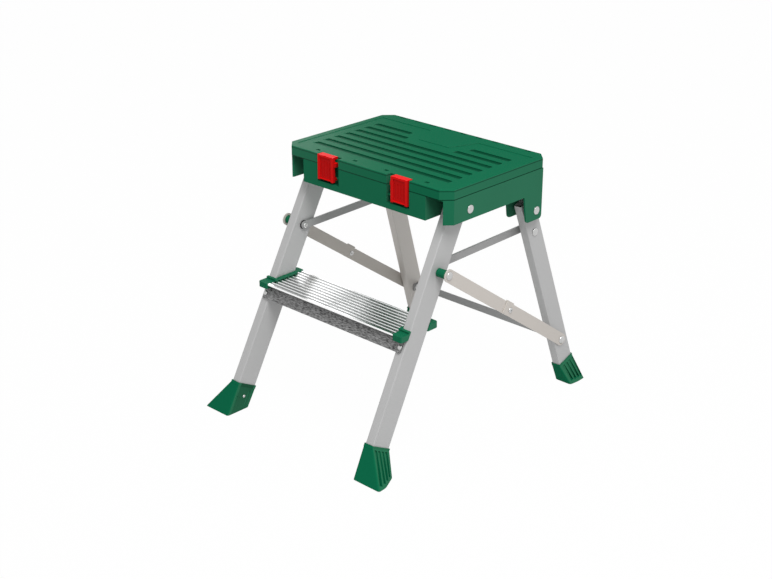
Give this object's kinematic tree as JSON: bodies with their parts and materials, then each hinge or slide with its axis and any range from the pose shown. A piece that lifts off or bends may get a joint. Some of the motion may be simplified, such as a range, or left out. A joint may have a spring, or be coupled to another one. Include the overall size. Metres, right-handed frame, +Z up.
{
  "type": "folding step stool",
  "caption": "Two-level folding step stool: tubular legs, ridged tread, moulded platform with a hinged lid over a storage tray, sliding latches and folding lock links.",
  "frame": {"origin": "on the floor, at the centre of the box round the standing stool", "axes": "+Z up, -Y to the front where the tread is, +X to the right of a user who faces the stool"},
  "size_m": [0.445, 0.578, 0.47],
  "materials": {
    "green_plastic": "satin moulded",
    "foot_rubber": "matt",
    "red_plastic": "glossy moulded",
    "leg_aluminium": "matt anodised",
    "tread_aluminium": "mill finish",
    "link_steel": "satin plated",
    "bar_steel": "satin plated",
    "hardware_steel": "bright plated",
    "black_washer": "matt"
  },
  "bodies": {
    "front_frame": {"front_leg_left": "leg_aluminium", "front_leg_right": "leg_aluminium", "front_foot_left": "foot_rubber", "front_foot_right": "foot_rubber", "foot_pin_front_left": "hardware_steel", "foot_pin_front_right": "hardware_steel", "step_tread": "tread_aluminium", "tread_bracket_left": "green_plastic", "tread_bracket_right": "green_plastic", "tread_screw_left": "hardware_steel", "tread_screw_right": "hardware_steel", "lock_bolt_left": "hardware_steel", "lock_bolt_right": "hardware_steel", "lock_spacer_left": "green_plastic", "lock_spacer_right": "green_plastic", "tie_washer_left": "black_washer", "tie_washer_right": "black_washer"},
    "platform": {"storage_box": "green_plastic", "front_pivot_left": "hardware_steel", "front_pivot_right": "hardware_steel", "rear_pivot_left": "hardware_steel", "rear_pivot_right": "hardware_steel", "lid_hinge_pin_left": "hardware_steel", "lid_hinge_pin_middle": "hardware_steel", "lid_hinge_pin_right": "hardware_steel"},
    "lid": {"lid": "green_plastic"},
    "latch_left": {"latch_left": "red_plastic"},
    "latch_right": {"latch_right": "red_plastic"},
    "rear_frame": {"rear_leg_left": "leg_aluminium", "rear_leg_right": "leg_aluminium", "rear_foot_left": "foot_rubber", "rear_foot_right": "foot_rubber", "foot_pin_rear_left": "hardware_steel", "foot_pin_rear_right": "hardware_steel", "rear_crossbar": "bar_steel", "arm_rivet_left": "hardware_steel", "arm_rivet_right": "hardware_steel", "tie_stud_left": "hardware_steel", "tie_stud_right": "hardware_steel", "tie_bush_left": "hardware_steel", "tie_bush_right": "hardware_steel"},
    "tie_left": {"tie_link_left": "bar_steel", "tie_rivet_left": "hardware_steel"},
    "front_lock_left": {"lock_link_front_left": "link_steel", "knee_rivet_left": "hardware_steel", "lock_rivet_left": "hardware_steel"},
    "rear_lock_left": {"lock_link_rear_left": "link_steel", "knee_screw_left": "hardware_steel"},
    "tie_right": {"tie_link_right": "bar_steel", "tie_rivet_right": "hardware_steel"},
    "front_lock_right": {"lock_link_front_right": "link_steel", "knee_rivet_right": "hardware_steel", "lock_rivet_right": "hardware_steel"},
    "rear_lock_right": {"lock_link_rear_right": "link_steel", "knee_screw_right": "hardware_steel"}
  },
  "joints": [
    {"name": "platform_fold", "type": "hinge", "parent": "front_frame", "child": "platform", "pos_m": [0, -0.03907, 0.4262], "axis": [1, 0, 0], "range_deg": [0, 62.23]},
    {"name": "rear_frame_fold", "type": "hinge", "parent": "platform", "child": "rear_frame", "pos_m": [0, 0.14263, 0.3758], "axis": [1, 0, 0], "range_deg": [-108.38, 0]},
    {"name": "tie_fold_left", "type": "hinge", "parent": "front_frame", "child": "tie_left", "pos_m": [-0.1525, -0.09358, 0.32267], "axis": [1, 0, 0], "range_deg": [0, 49.73]},
    {"name": "rear_lock_fold_left", "type": "hinge", "parent": "rear_frame", "child": "rear_lock_left", "pos_m": [-0.1958, 0.23706, 0.0916], "axis": [1, 0, 0], "range_deg": [-30.38, 0]},
    {"name": "knee_fold_left", "type": "hinge", "parent": "rear_lock_left", "child": "front_lock_left", "pos_m": [-0.19915, 0.07174, 0.20714], "axis": [1, 0, 0], "range_deg": [0, 165.65]},
    {"name": "tie_fold_right", "type": "hinge", "parent": "front_frame", "child": "tie_right", "pos_m": [0.1525, -0.09358, 0.32267], "axis": [1, 0, 0], "range_deg": [0, 49.73]},
    {"name": "rear_lock_fold_right", "type": "hinge", "parent": "rear_frame", "child": "rear_lock_right", "pos_m": [0.1958, 0.23706, 0.0916], "axis": [1, 0, 0], "range_deg": [-30.38, 0]},
    {"name": "knee_fold_right", "type": "hinge", "parent": "rear_lock_right", "child": "front_lock_right", "pos_m": [0.19915, 0.07174, 0.20714], "axis": [1, 0, 0], "range_deg": [0, 165.65]},
    {"name": "lid_hinge", "type": "hinge", "parent": "platform", "child": "lid", "pos_m": [0, 0.16308, 0.446], "axis": [-1, 0, 0], "range_deg": [0, 100]},
    {"name": "latch_slide_left", "type": "slide", "parent": "lid", "child": "latch_left", "axis": [1, 0, 0], "range_m": [0, 0.0075]},
    {"name": "latch_slide_right", "type": "slide", "parent": "lid", "child": "latch_right", "axis": [-1, 0, 0], "range_m": [0, 0.0075]}
  ],
  "couplings": [
    {"joint": "rear_frame_fold", "follows": "platform_fold", "ratio": -1.7416},
    {"joint": "tie_fold_left", "follows": "platform_fold", "ratio": 0.79904},
    {"joint": "rear_lock_fold_left", "follows": "platform_fold", "ratio": -0.48814},
    {"joint": "knee_fold_left", "follows": "platform_fold", "ratio": 2.6618},
    {"joint": "tie_fold_right", "follows": "platform_fold", "ratio": 0.79904},
    {"joint": "rear_lock_fold_right", "follows": "platform_fold", "ratio": -0.48814},
    {"joint": "knee_fold_right", "follows": "platform_fold", "ratio": 2.6618}
  ]
}
